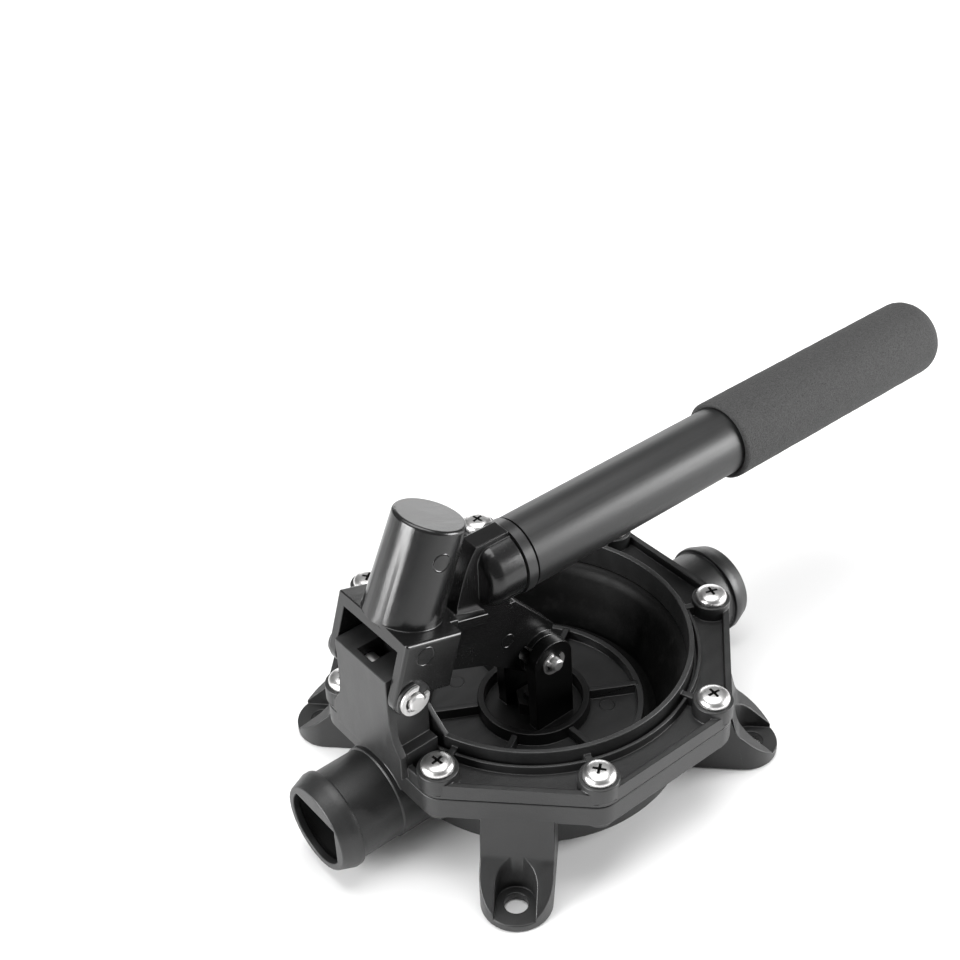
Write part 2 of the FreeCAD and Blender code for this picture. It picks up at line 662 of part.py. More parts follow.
elbow = rounded("elbow", elbow_blank, 5.2, lambda edge: edge.BoundBox.XMax < size("elbow_x") + 0.1
                and edge.BoundBox.YLength > 5)
stub = rod("stub", "stub_radius", "stub_end - stub_start", ("stub_start", 0, "handle_z"), AXIS_X)
boss = rod("lever_boss", "ear_radius - 0.1", "2 * ear_inner - 0.6", (0, "-ear_inner + 0.3", "clevis_z"), AXIS_Y)
lever_mass = fuse("lever_mass", [saddle, spine, blade, elbow, stub, boss])

swing_room = rod("swing_room", "saddle_under - 4.4", "2 * saddle_inner",
                 ("pivot_x", "-saddle_inner", "pivot_z"), AXIS_Y)
lever_pin_bore = rod("lever_pin_bore", "pivot_pin + 0.02", "60", ("pivot_x", -30, "pivot_z"), AXIS_Y)
slot_end = rod("slot_end", "clevis_pin + 0.85", "40", (0, -20, "clevis_z"), AXIS_Y)
slot_far = rod("slot_far", "clevis_pin + 0.85", "40", (-6.6, -20, "clevis_z + 3.1"), AXIS_Y)
slot_run = block("slot_run", (0, 0, "-clevis_pin - 0.85"), 7.29, 40, "2 * clevis_pin + 1.7")
slot_bar = group("slot_bar", [slot_run])
slot_bar.Placement = Placement(Vector(0, 20, size("clevis_z")), Rotation(Vector(0, 0, 1), 180)
                               * Rotation(Vector(0, 1, 0), -math.degrees(math.atan2(3.1, 6.6))))
keep(cut("lever_solid", lever_mass, [swing_room, lever_pin_bore, slot_end, slot_far, slot_bar]), "lever")


# ---- pins and their clips ---------------------------------------------------------------------

def clip(name, inner, outer, at, turn):
    """An open retaining clip of 1 mm steel, lying across Y."""
    ring = tube(name + "_ring", outer, inner, "1", at, turn)
    x, y, z = at
    gap = block(name + "_gap", (f"{x} - 0.8", f"{y} - 1", z), 1.6, 4, "8")
    return cut(name, ring, [gap])


def pin(name, radius, half, x, z):
    """A pin along Y with a small bevel at each end."""
    body = rod(name + "_body", radius, f"2 * ({half}) - 1.2", (x, f"-({half}) + 0.6", z), AXIS_Y)
    near = cone(name + "_near", f"{radius} - 0.6", radius, "0.6", (x, f"-({half})", z), AXIS_Y)
    far = cone(name + "_far", radius, f"{radius} - 0.6", "0.6", (x, f"({half}) - 0.6", z), AXIS_Y)
    return fuse(name, [body, near, far])


keep(pin("pivot_pin_solid", "pivot_pin", "saddle_outer + 3.4", "pivot_x", "pivot_z"), "pivot_pin")
keep(pin("clevis_pin_solid", "clevis_pin", "ear_outer + 3.2", "0", "clevis_z"), "clevis_pin")
keep(group("pivot_washer_set", [
    tube("pivot_washer_near", "6.8", "pivot_pin + 0.05", "0.8",
         ("pivot_x", "-saddle_outer - 0.8", "pivot_z"), AXIS_Y),
    tube("pivot_washer_far", "6.8", "pivot_pin + 0.05", "0.8",
         ("pivot_x", "saddle_outer", "pivot_z"), AXIS_Y),
]), "pivot_washers")
keep(group("pivot_clip_set", [
    clip("pivot_clip_near", "pivot_pin", "6", ("pivot_x", "-saddle_outer - 1.9", "pivot_z"), AXIS_Y),
    clip("pivot_clip_far", "pivot_pin", "6", ("pivot_x", "saddle_outer + 0.9", "pivot_z"), AXIS_Y),
]), "pivot_clips")
keep(group("clevis_clip_set", [
    clip("clevis_clip_near", "clevis_pin", "5.2", ("0", "-ear_outer - 1.1", "clevis_z"), AXIS_Y),
    clip("clevis_clip_far", "clevis_pin", "5.2", ("0", "ear_outer + 0.1", "clevis_z"), AXIS_Y),
]), "clevis_clips")


# ---- handle -----------------------------------------------------------------------------------

keep(tube("tube_wall", "tube_radius", "tube_bore", "tube_end - tube_start",
          ("tube_start", 0, "handle_z"), AXIS_X), "handle_tube")
keep(tube("collar_ring", "tube_radius + 0.3", "stub_radius + 0.15", "collar_end - stub_start - 0.6",
          ("stub_start + 0.6", 0, "handle_z"), AXIS_X), "handle_collar")
plug_body = rod("plug_body", "tube_bore - 0.02", "9", ("tube_end - 9", 0, "handle_z"), AXIS_X)
plug_cap = rod("plug_cap", "tube_radius - 0.4", "1.4", ("tube_end", 0, "handle_z"), AXIS_X)
keep(fuse("plug_solid", [plug_body, plug_cap]), "handle_plug")
grip_blank = rod("grip_blank", "grip_radius", "grip_end - grip_start", ("grip_start", 0, "handle_z"), AXIS_X)
grip_round = rounded("grip_round", grip_blank, 8.5, lambda edge: edge.BoundBox.XMin > size("grip_end") - 1
                     and edge.BoundBox.YLength > 5)
grip_bore = rod("grip_bore", "tube_radius + 0.02", "tube_end + 1.42 - grip_start + 5",
                ("grip_start - 5", 0, "handle_z"), AXIS_X)
keep(cut("grip_solid", grip_round, [grip_bore]), "foam_grip")


# ---- checks and files ---------------------------------------------------------------------------

doc.recompute()
for thing in doc.Objects:
    if any(word in thing.State for word in ("Invalid", "Error")):
        raise RuntimeError(f"{thing.Name} failed: {thing.State}")
for thing in sub_parts:
    if thing.Shape.isNull() or not thing.Shape.isValid() or not thing.Shape.Solids:
        raise RuntimeError(f"{thing.Label} has no valid solid")
for thing in sub_parts:
    thing.Shape.exportStep(f"parts/{thing.Label}.step")
    box = thing.Shape.BoundBox
    print(f"{thing.Label:20s} solids {len(thing.Shape.Solids)} volume {thing.Shape.Volume:10.1f} "
          f"x {box.XMin:7.1f} {box.XMax:6.1f} y {box.YMin:6.1f} {box.YMax:6.1f} "
          f"z {box.ZMin:6.1f} {box.ZMax:6.1f}")
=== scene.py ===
import math
import random

import bmesh
import bpy
from mathutils import Matrix, Vector, noise


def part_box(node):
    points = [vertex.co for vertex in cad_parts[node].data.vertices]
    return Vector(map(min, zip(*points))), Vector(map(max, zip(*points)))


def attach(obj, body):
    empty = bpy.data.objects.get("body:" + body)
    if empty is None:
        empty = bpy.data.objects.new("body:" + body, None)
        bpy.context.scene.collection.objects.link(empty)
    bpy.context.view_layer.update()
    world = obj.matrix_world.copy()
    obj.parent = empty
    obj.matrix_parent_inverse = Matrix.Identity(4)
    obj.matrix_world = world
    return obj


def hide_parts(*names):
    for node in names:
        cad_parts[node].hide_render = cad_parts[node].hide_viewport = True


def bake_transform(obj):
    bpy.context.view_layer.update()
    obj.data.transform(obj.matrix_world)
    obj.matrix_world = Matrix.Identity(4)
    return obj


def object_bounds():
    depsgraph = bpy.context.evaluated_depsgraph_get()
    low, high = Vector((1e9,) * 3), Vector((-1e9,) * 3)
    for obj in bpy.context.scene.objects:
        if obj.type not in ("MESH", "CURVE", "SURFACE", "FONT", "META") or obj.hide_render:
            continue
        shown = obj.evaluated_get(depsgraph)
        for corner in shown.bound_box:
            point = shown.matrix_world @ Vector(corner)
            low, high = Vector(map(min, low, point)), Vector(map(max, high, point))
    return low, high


# A manual bilge pump: black mouldings, rubber diaphragm, stainless fixings, handle with a foam grip.
# Metres, +Z up. The ports, the lever and the handle lie along X.

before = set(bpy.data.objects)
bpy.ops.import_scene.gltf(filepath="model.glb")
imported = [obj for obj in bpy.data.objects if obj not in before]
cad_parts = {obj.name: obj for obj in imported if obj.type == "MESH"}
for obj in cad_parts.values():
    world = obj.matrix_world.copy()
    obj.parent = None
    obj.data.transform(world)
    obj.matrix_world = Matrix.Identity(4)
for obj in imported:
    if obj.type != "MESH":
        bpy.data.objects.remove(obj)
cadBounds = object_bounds()
mm = 0.001


# Finishes

class Wire:
    # one socket of a finish, so that sums on it can be written as plain arithmetic
    def __init__(self, finish, socket):
        self.finish = finish
        self.socket = socket

    def sum(self, operation, first, second):
        return self.finish.node("Math", {"operation": operation}, {0: first, 1: second})

    def __add__(self, other):
        return self.sum("ADD", self, other)

    def __radd__(self, other):
        return self.sum("ADD", other, self)

    def __sub__(self, other):
        return self.sum("SUBTRACT", self, other)

    def __rsub__(self, other):
        return self.sum("SUBTRACT", other, self)

    def __mul__(self, other):
        return self.sum("MULTIPLY", self, other)

    def __rmul__(self, other):
        return self.sum("MULTIPLY", other, self)


class Finish:
    def __init__(self, name, **fixed):
        self.material = bpy.data.materials.new(name)
        self.material.use_nodes = True
        self.tree = self.material.node_tree
        self.shader = self.tree.nodes["Principled BSDF"]
        for label, value in fixed.items():
            self.shader.inputs[label.replace("_", " ")].default_value = value
        self.here = self.node("TexCoord", {}, {}, "Object")

    def node(self, kind, settings, sockets, output=0):
        made = self.tree.nodes.new("ShaderNode" + kind)
        for key, value in settings.items():
            if key == "stops":
                self.setStops(made.color_ramp, value)
            else:
                setattr(made, key, value)
        for key, value in sockets.items():
            if isinstance(value, Wire):
                self.tree.links.new(value.socket, made.inputs[key])
            else:
                made.inputs[key].default_value = value
        return Wire(self, made.outputs[output])

    def setStops(self, ramp, stops):
        while len(ramp.elements) < len(stops):
            ramp.elements.new(0.5)
        for element, (position, level) in zip(ramp.elements, stops):
            element.position = position
            element.color = (level, level, level, 1)

    def stretched(self, scale, turn=(0, 0, 0)):
        return self.node("Mapping", {}, {"Vector": self.here, "Scale": scale, "Rotation": turn})

    def noise(self, scale, detail=2.0, rough=0.5, at=None):
        return self.node("TexNoise", {}, {"Vector": at or self.here, "Scale": scale, "Detail": detail,
                                          "Roughness": rough}, "Fac")

    def ramp(self, fac, *stops):
        return self.node("ValToRGB", {"stops": stops}, {"Fac": fac}, "Color")

    def mix(self, amount, first, second):
        return self.node("Mix", {"data_type": "RGBA"}, {0: amount, 6: first, 7: second}, 2)

    def bump(self, height, distance, strength=1.0, under=None):
        sockets = {"Height": height, "Distance": distance, "Strength": strength}
        if under is not None:
            sockets["Normal"] = under
        return self.node("Bump", {}, sockets)

    def rings(self, marks, sharpness=3300):
        # thin circles left by the mould's ejector pins
        lines = 0.0
        for place, radius in marks:
            away = self.node("VectorMath", {"operation": "DISTANCE"}, {0: self.here, 1: place}, "Value")
            gap = self.node("Math", {"operation": "ABSOLUTE"}, {0: away - radius}) * sharpness
            lines = self.ramp(gap, (0.0, 1.0), (1.0, 0.0)) + lines
        return lines

    def feed(self, **wires):
        for label, wire in wires.items():
            self.tree.links.new(wire.socket, self.shader.inputs[label.replace("_", " ")])
        return self.material


def grey(level, warmth=0.0):
    return (level * (1 + warmth), level, level * (1 - warmth), 1)


mouldedLook = {"tone": 0.007, "paleTone": 0.015, "rough": 0.40, "spread": 0.16, "scuff": 0.05,
               "grain": 0.00005, "grainScale": 2100, "marks": []}


def mouldedPlastic(name, look):
    f = Finish(name, Specular_IOR_Level=0.5)
    cloud = f.noise(22, 4, 0.6)
    drift = f.noise(1, 3, 0.55, f.stretched((40, 160, 60)))
    grain = f.noise(look["grainScale"], 2, 0.6)
    wear = f.noise(1, 6, 0.7, f.stretched((700, 90, 240), (0.3, 0.2, 0.9)))
    scuffs = f.ramp(wear, (0.0, 0.0), (0.66, 0.0), (0.74, 1.0))
    tone = f.ramp(cloud * 0.6 + drift * 0.4, (0.0, 0.0), (0.35, 0.15), (0.68, 1.0))
    colour = f.mix(tone, grey(look["tone"], -0.012), grey(look["paleTone"], -0.008))
    colour = f.mix(scuffs * look["scuff"], colour, grey(0.12))
    if "paintedHubShade" in look:
        # painted shade: a dark middle round the axis, standing in for the lever's shadow over the hub
        flat = f.node("VectorMath", {"operation": "MULTIPLY"}, {0: f.here, 1: (1, 1, 0)})
        away = f.node("VectorMath", {"operation": "LENGTH"}, {0: flat}, "Value")
        reach = 20
        limit = look["paintedHubShade"] * reach
        hubShadeMask = f.ramp(away * reach, (0.0, 1.0), (limit - 0.02, 1.0), (limit + 0.02, 0.0))
        colour = f.mix(hubShadeMask, colour, grey(0.001))
    roughness = drift * look["spread"] + grain * 0.10 + scuffs * 0.06 + (look["rough"] - 0.12)
    skin = f.bump(grain, look["grain"])
    skin = f.bump(drift, 0.0003, 0.35, skin)
    if look["marks"]:
        skin = f.bump(f.rings(look["marks"]), 0.00025, 1.0, skin)
    return f.feed(Base_Color=colour, Roughness=roughness, Normal=skin)


leverLook = {"tone": 0.004, "paleTone": 0.008, "rough": 0.25, "spread": 0.12, "scuff": 0.02,
             "grain": 0.000005, "grainScale": 1500,
             "marks": [((-0.0642, -0.02, 0.0967), 0.0036), ((-0.0642, 0.02, 0.0967), 0.0036),
                       ((-0.0503, -0.013, 0.126), 0.0033), ((-0.0153, -0.0045, 0.0629), 0.0029)]}
# within this radius the plate's middle is darkened as painted shade from the lever above it
plateLook = {"tone": 0.018, "paleTone": 0.034, "rough": 0.36, "spread": 0.10, "scuff": 0.03, "paintedHubShade": 0.0222,
             "grain": 0.000012, "grainScale": 1800,
             "marks": [((0.0218, -0.0192, 0.0168), 0.003), ((-0.0151, 0.03, 0.0168), 0.003)]}
rubberLook = {"tone": 0.002, "paleTone": 0.004, "rough": 0.5}


def mouldedRubber(name, look):
    f = Finish(name, Specular_IOR_Level=0.17)
    cloud = f.noise(35, 4, 0.6)
    grain = f.noise(1700, 3, 0.6)
    dust = f.ramp(f.noise(160, 5, 0.7), (0.0, 0.0), (0.52, 0.0), (0.72, 1.0))
    colour = f.mix(cloud, grey(look["tone"]), grey(look["paleTone"], 0.01))
    colour = f.mix(dust * 0.08, colour, grey(0.07, 0.02))
    roughness = cloud * 0.14 + dust * 0.16 + (look["rough"] - 0.1)
    return f.feed(Base_Color=colour, Roughness=roughness, Normal=f.bump(grain, 0.00006))


def stainless(name, rough=0.2, dull=0.60, bright=0.80):
    f = Finish(name, Metallic=1.0)
    lines = f.noise(1, 3, 0.6, f.stretched((500, 4200, 1200)))
    cloud = f.noise(240, 3, 0.6)
    colour = f.mix(cloud, grey(dull, 0.012), grey(bright, 0.006))
    roughness = lines * 0.16 + cloud * 0.10 + (rough - 0.1)
    return f.feed(Base_Color=colour, Roughness=roughness, Normal=f.bump(lines, 0.00001, 0.8))


tubeLook = {"tone": 0.008, "paleTone": 0.013, "rough": 0.42}


def coatedTube(name, look):
    f = Finish(name, Specular_IOR_Level=0.5)
    drawn = f.noise(1, 3, 0.5, f.stretched((9, 700, 700)))
    cloud = f.noise(30, 4, 0.55)
    peel = f.noise(900, 2, 0.5)
    rubs = f.ramp(f.noise(1, 5, 0.7, f.stretched((60, 900, 900))), (0.0, 0.0), (0.64, 0.0), (0.78, 1.0))
    colour = f.mix(drawn * 0.5 + cloud * 0.5, grey(look["tone"], -0.01), grey(look["paleTone"], -0.008))
    colour = f.mix(rubs * 0.14, colour, grey(0.14))
    roughness = drawn * 0.12 + cloud * 0.12 + rubs * 0.08 + (look["rough"] - 0.12)
    return f.feed(Base_Color=colour, Roughness=roughness, Normal=f.bump(peel, 0.00003))


foamLook = {"tone": 0.018, "paleTone": 0.050, "cell": 1500, "depth": 0.00022}


def closedCellFoam(name, look):
    f = Finish(name, Roughness=0.9, Specular_IOR_Level=0.45)
    cells = f.node("TexVoronoi", {"feature": "SMOOTH_F1"}, {"Vector": f.here, "Scale": look["cell"],
                                                            "Smoothness": 0.5}, "Distance")
    crumbs = f.noise(2300, 3, 0.65)
    pits = f.ramp(f.noise(1500, 3, 0.6), (0.0, 0.0), (0.34, 0.0), (0.46, 1.0))
    cloud = f.noise(60, 4, 0.6)
    tone = f.ramp(crumbs * 0.62 + cells * 0.23 + cloud * 0.15, (0.0, 0.0), (0.34, 0.1), (0.64, 1.0))
    colour = f.mix(tone, grey(look["tone"], 0.0), grey(look["paleTone"], 0.0))
    # the low pits are darkened in colour: painted shade in the foam's pores
    colour = f.mix(0.6 - pits * 0.6, colour, grey(look["tone"] * 0.6))
    height = cells * 0.4 + crumbs * 0.9 + pits * 0.3
    return f.feed(Base_Color=colour, Roughness=cloud * 0.12 + 0.8, Normal=f.bump(height, look["depth"]))


def paleFloor(name):
    f = Finish(name, Specular_IOR_Level=0.2)
    cloud = f.noise(3, 3, 0.5)
    return f.feed(Base_Color=f.mix(cloud, grey(0.80), grey(0.83)), Roughness=cloud * 0.1 + 0.6)


bodyPlastic = mouldedPlastic("bodyPlastic", mouldedLook)
leverPlastic = mouldedPlastic("leverPlastic", leverLook)
platePlastic = mouldedPlastic("platePlastic", plateLook)
softRubber = mouldedRubber("softRubber", rubberLook)
brightSteel = stainless("brightSteel", 0.28)
satinSteel = stainless("satinSteel", 0.42, 0.52, 0.75)
# a darkened copy of the stainless finish: painted shade inside the screws' cross recesses and on the bolt and
# nut in the plate's hub
paintedShadeSteel = stainless("paintedShadeSteel", 0.5, 0.045, 0.09)
tubeCoat = coatedTube("tubeCoat", tubeLook)
blackAcetal = mouldedPlastic("blackAcetal", {**leverLook, "tone": 0.012, "paleTone": 0.02, "rough": 0.34,
                                            "marks": []})
gripFoam = closedCellFoam("gripFoam", foamLook)
print("finishes made")


# Shared mesh work

def finished(name, mesh, material, smoothUnder=40, second=None):
    # the bmesh becomes a piece at the origin, with smooth faces and sharp creases
    data = bpy.data.meshes.new(name)
    for face in mesh.faces:
        face.smooth = True
    for edge in mesh.edges:
        if len(edge.link_faces) == 2 and edge.calc_face_angle(0) > math.radians(smoothUnder):
            edge.smooth = False
    mesh.to_mesh(data)
    mesh.free()
    data.materials.append(material)
    if second:
        data.materials.append(second)
    piece = bpy.data.objects.new(name, data)
    bpy.context.scene.collection.objects.link(piece)
    return piece


def spun(mesh, outline, steps, axis="Z", centre=(0, 0, 0)):
    # an outline of (radius, height) turned right round Z or X
    made = []
    for radius, height in outline:
        place = (radius, 0, height) if axis == "Z" else (height, 0, radius)
        made.append(mesh.verts.new(Vector(place) + Vector(centre)))
    edges = [mesh.edges.new((made[n], made[n + 1])) for n in range(len(made) - 1)]
    way = (0, 0, 1) if axis == "Z" else (1, 0, 0)
    bmesh.ops.spin(mesh, geom=made + edges, cent=centre, axis=way, angle=math.tau, steps=steps, use_merge=True)
    bmesh.ops.remove_doubles(mesh, verts=mesh.verts, dist=1e-6)
    bmesh.ops.recalc_face_normals(mesh, faces=mesh.faces)


def roundedOutline(corners, radius, steps=4):
    # soften each inner corner of an open outline with a short arc
    points = [corners[0]]
    for before, corner, after in zip(corners, corners[1:], corners[2:]):
        here = Vector(corner)
        back = Vector(before) - here
        ahead = Vector(after) - here
        reach = min(radius, back.length * 0.45, ahead.length * 0.45)
        first = here + back.normalized() * reach
        last = here + ahead.normalized() * reach
        for step in range(steps + 1):
            t = step / steps
            points.append(tuple(first * (1 - t) ** 2 + here * 2 * t * (1 - t) + last * t ** 2))
    return points + [corners[-1]]


def carve(mesh, cutter):
    # take one closed bmesh out of another
    pair = []
    for source in (mesh, cutter):
        data = bpy.data.meshes.new("work")
        source.to_mesh(data)
        data.materials.append(brightSteel)
        data.materials.append(paintedShadeSteel)
        thing = bpy.data.objects.new("work", data)
        bpy.context.scene.collection.objects.link(thing)
        pair.append(thing)
    knife = pair[0].modifiers.new("carve", "BOOLEAN")
    knife.object = pair[1]
    knife.operation = "DIFFERENCE"
    knife.solver = "EXACT"
    bpy.context.view_layer.update()
    ready = pair[0].evaluated_get(bpy.context.evaluated_depsgraph_get())
    mesh.clear()
    mesh.from_mesh(ready.to_mesh())
    for thing in pair:
        bpy.data.objects.remove(thing)
    cutter.free()
    return mesh


def declare(piece, body, slotName, *nodes):
    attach(piece, body)
    if nodes:
        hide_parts(*nodes)


def middle(node):
    low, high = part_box(node)
    return (Vector(low) + Vector(high)) / 2


# Softened mouldings: a copy of the designed shape with its sharp corners eased

def easedCopy(node, name, material, ease, turnOver=30):
    mesh = bmesh.new()
    mesh.from_mesh(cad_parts[node].data)
    bmesh.ops.remove_doubles(mesh, verts=mesh.verts, dist=2e-6)
    bmesh.ops.dissolve_limit(mesh, angle_limit=math.radians(0.6), verts=mesh.verts, edges=mesh.edges,
                             use_dissolve_boundaries=False)
    sharp = [edge for edge in mesh.edges
             if len(edge.link_faces) == 2 and edge.calc_face_angle(0) > math.radians(turnOver)]
    bmesh.ops.bevel(mesh, geom=sharp, offset=ease, offset_type="OFFSET", segments=2, profile=0.5,
                    affect="EDGES", clamp_overlap=False, loop_slide=True, material=-1)
    print(name, "eased edges", len(sharp), "faces", len(mesh.faces))
    piece = finished(name, mesh, material, 50)
    evener = piece.modifiers.new("even shading", "WEIGHTED_NORMAL")
    evener.weight = 100
    evener.keep_sharp = True
    return piece


easing = {"pump_body": 0.45 * mm, "clamp_ring": 0.4 * mm, "upper_plate": 0.35 * mm, "lever": 0.45 * mm}
bodyOf = {"pump_body": "housing", "clamp_ring": "housing", "upper_plate": "plunger", "lever": "rocker"}
pieceNames = {"pump_body": "pumpBody", "clamp_ring": "clampRing", "upper_plate": "upperPlate",
              "lever": "leverMoulding"}
plastics = {"pump_body": bodyPlastic, "clamp_ring": bodyPlastic, "upper_plate": platePlastic,
            "lever": leverPlastic}
for node, ease in easing.items():
    piece = easedCopy(node, pieceNames[node], plastics[node], ease)
    declare(piece, bodyOf[node], "lever_plastic" if node == "lever" else "body_plastic", node)

plainFinishes = {
    "lower_plate": bodyPlastic, "inlet_valve_seat": bodyPlastic, "outlet_valve_seat": bodyPlastic,
    "inlet_valve_flap": softRubber, "outlet_valve_flap": softRubber,
    "pivot_pin": satinSteel, "clevis_pin": satinSteel,
    "plate_washer": brightSteel, "plate_bolt": paintedShadeSteel, "plate_nut": paintedShadeSteel,
    "handle_tube": tubeCoat, "handle_collar": blackAcetal, "handle_plug": blackAcetal,
    "pivot_washers": blackAcetal,
}
for node, material in plainFinishes.items():
    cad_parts[node].data.materials[0] = material
print("mouldings eased")


# Diaphragm

diaphragm = {"thick": 2.2 * mm, "fold": 0.35 * mm, "folds": 2, "steps": 128, "hole": 4.0 * mm,
             "wallTop": 57.6 * mm, "wallFoot": 50.5 * mm, "heel": 3.4 * mm, "corner": 2.2 * mm,
             "toe": 4 * mm, "drop": 8 * mm, "flare": 1.4 * mm, "rows": 12}


def diaphragmCup():
    low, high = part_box("diaphragm")
    rim = high[0]
    thick = diaphragm["thick"]
    floor = low[2]
    wallTop = diaphragm["wallTop"]
    wallFoot = diaphragm["wallFoot"]
    rise = high[2] - floor - diaphragm["drop"]
    outer = [(diaphragm["hole"], floor), (wallFoot - diaphragm["toe"], floor)]
    for step in range(diaphragm["rows"] + 1):
        t = step / diaphragm["rows"]
        wave = diaphragm["fold"] * math.sin(t * math.pi * diaphragm["folds"]) ** 2
        away = wallFoot + (wallTop - wallFoot) * t - wave * (1 - t)
        outer.append((away, floor + diaphragm["heel"] + rise * t))
    outer += [(wallTop + diaphragm["flare"], high[2] - thick), (rim, high[2] - thick)]
    mesh = bmesh.new()
    spun(mesh, roundedOutline(outer, diaphragm["corner"]), diaphragm["steps"])
    bmesh.ops.solidify(mesh, geom=mesh.faces[:], thickness=-thick)
    bmesh.ops.recalc_face_normals(mesh, faces=mesh.faces)
    piece = finished("diaphragmCup", mesh, softRubber, 60)
    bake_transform(piece)
    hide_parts("diaphragm")


diaphragmCup()
print("diaphragm made")


# Cover screws

screw = {"circle": 73.9 * mm, "count": 8, "head": 6.15 * mm, "rise": 3.5 * mm, "flat": 0.55 * mm,
         "shank": 2.8 * mm, "length": 12 * mm, "recess": 2.9 * mm, "blade": 0.62 * mm,
         "sink": 2.5 * mm, "spill": 1 * mm, "taper": 0.55, "first": 22.5, "seed": 4}


def crossCutter(top):
    # a tapered cross: a small square with an arm pulled out of each side, then drawn down to a narrower foot
    mesh = bmesh.new()
    blade = screw["blade"]
    bmesh.ops.create_grid(mesh, x_segments=1, y_segments=1, size=blade)
    for edge in mesh.edges[:]:
        way = (edge.verts[0].co + edge.verts[1].co).normalized()
        arm = bmesh.ops.extrude_edge_only(mesh, edges=[edge])["geom"]
        ends = [part for part in arm if isinstance(part, bmesh.types.BMVert)]
        bmesh.ops.translate(mesh, verts=ends, vec=way * (screw["recess"] - blade))
    foot = bmesh.ops.extrude_face_region(mesh, geom=mesh.faces[:])["geom"]
    low = [part for part in foot if isinstance(part, bmesh.types.BMVert)]
    bmesh.ops.scale(mesh, vec=(screw["taper"], screw["taper"], 1), verts=low)
    bmesh.ops.translate(mesh, verts=low, vec=(0, 0, -screw["sink"] - screw["spill"]))
    bmesh.ops.translate(mesh, verts=mesh.verts, vec=(0, 0, top + screw["spill"]))
    bmesh.ops.recalc_face_normals(mesh, faces=mesh.faces)
    # the recess faces take the dark steel, as painted shade inside the cross
    for face in mesh.faces:
        face.material_index = 1
    return mesh


def oneScrew(top):
    seat = top - screw["rise"]
    head = screw["head"]
    shank = screw["shank"]
    end = seat - screw["length"]
    outline = [(0, end), (shank - 0.2 * mm, end), (shank, end + 2 * mm), (shank, seat)]
    outline += [(head - 0.3 * mm, seat), (head, seat + 0.3 * mm), (head, seat + screw["flat"])]
    crown = screw["rise"] - screw["flat"]
    for step in range(1, 9):
        angle = math.pi / 2 * step / 8
        outline.append((head * math.cos(angle) ** 0.62 if step < 8 else 0,
                        seat + screw["flat"] + crown * math.sin(angle) ** 0.9))
    mesh = bmesh.new()
    spun(mesh, outline, 40)
    return carve(mesh, crossCutter(top))


def coverScrews():
    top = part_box("cover_screws")[1][2]
    order = random.Random(screw["seed"])
    single = oneScrew(top)
    keeper = bpy.data.meshes.new("work")
    single.to_mesh(keeper)
    single.free()
    mesh = bmesh.new()
    for n in range(screw["count"]):
        before = len(mesh.verts)
        mesh.from_mesh(keeper)
        mesh.verts.ensure_lookup_table()
        angle = math.radians(screw["first"] + 360 / screw["count"] * n)
        place = (Matrix.Translation((screw["circle"] * math.cos(angle), screw["circle"] * math.sin(angle), 0))
                 @ Matrix.Rotation(order.uniform(0, math.pi / 2), 4, "Z"))
        bmesh.ops.transform(mesh, matrix=place, verts=mesh.verts[before:])
    piece = finished("coverScrews", mesh, brightSteel, 35, paintedShadeSteel)
    declare(piece, "housing", "stainless", "cover_screws")


coverScrews()
print("cover screws made")


# Retaining clips

clip = {"thick": 1.0 * mm, "ring": 1.75 * mm, "mouth": 62, "prong": 1.5 * mm, "steps": 30}


def openClip(mesh, outer, pinRadius, centre, start, openTowards):
    # a ring with a mouth and three prongs that grip the pin's groove
    inner = outer - clip["ring"]
    half = math.radians(clip["mouth"] / 2)
    corners = [mesh.verts.new((math.cos(half) * r, 0, math.sin(half) * r)) for r in (inner, outer)]
    arc = [corners[0], corners[1], mesh.edges.new(corners)]
    bmesh.ops.spin(mesh, geom=arc, cent=(0, 0, 0), axis=(0, -1, 0), angle=math.tau - 2 * half,
                   steps=clip["steps"])
    for turn in (90, 180, 270):
        prong = bmesh.ops.create_grid(mesh, x_segments=1, y_segments=1, size=0.5)["verts"]
        reach = inner + 0.3 * mm - pinRadius
        shape = (Matrix.Rotation(-math.radians(turn), 4, "Y")
                 @ Matrix.Translation((pinRadius + reach / 2, 0, 0)) @ Matrix.Rotation(math.pi / 2, 4, "X")
                 @ Matrix.Diagonal((reach, clip["prong"], 1, 1)))
        bmesh.ops.transform(mesh, matrix=shape, verts=prong)
    facing = Matrix.Rotation(-math.radians(openTowards), 4, "Y")
    swing = Matrix.Translation((centre.x, start, centre.z)) @ facing
    bmesh.ops.transform(mesh, matrix=swing, verts=mesh.verts)
    bmesh.ops.recalc_face_normals(mesh, faces=mesh.faces)
    bmesh.ops.solidify(mesh, geom=mesh.faces[:], thickness=clip["thick"])
    bmesh.ops.recalc_face_normals(mesh, faces=mesh.faces)


def clipPair(node, name, pinNode, body, openTowards):
    low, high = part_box(node)
    pinLow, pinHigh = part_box(pinNode)
    outer = (high[2] - low[2]) / 2
    whole = bmesh.new()
    for start in (low[1] + clip["thick"] / 2, high[1] - clip["thick"] / 2):
        mesh = bmesh.new()
        openClip(mesh, outer, (pinHigh[2] - pinLow[2]) / 2, middle(node), start, openTowards)
        span = [vert.co.y for vert in mesh.verts]
        bmesh.ops.translate(mesh, verts=mesh.verts, vec=(0, start - (min(span) + max(span)) / 2, 0))
        single = bpy.data.meshes.new("work")
        mesh.to_mesh(single)
        mesh.free()
        whole.from_mesh(single)
    piece = finished(name, whole, satinSteel, 35)
    declare(piece, body, "stainless", node)


clipPair("pivot_clips", "pivotClips", "pivot_pin", "rocker", 40)
clipPair("clevis_clips", "clevisClips", "clevis_pin", "plunger", 65)
print("clips made")


# Foam grip

foam = {"lump": 0.16 * mm, "rings": 96, "around": 88, "lip": 1.2 * mm, "dome": 8.5 * mm, "overlap": 14 * mm,
        "slack": 0.02 * mm, "short": 0.1 * mm, "fine": 260, "coarse": 90}


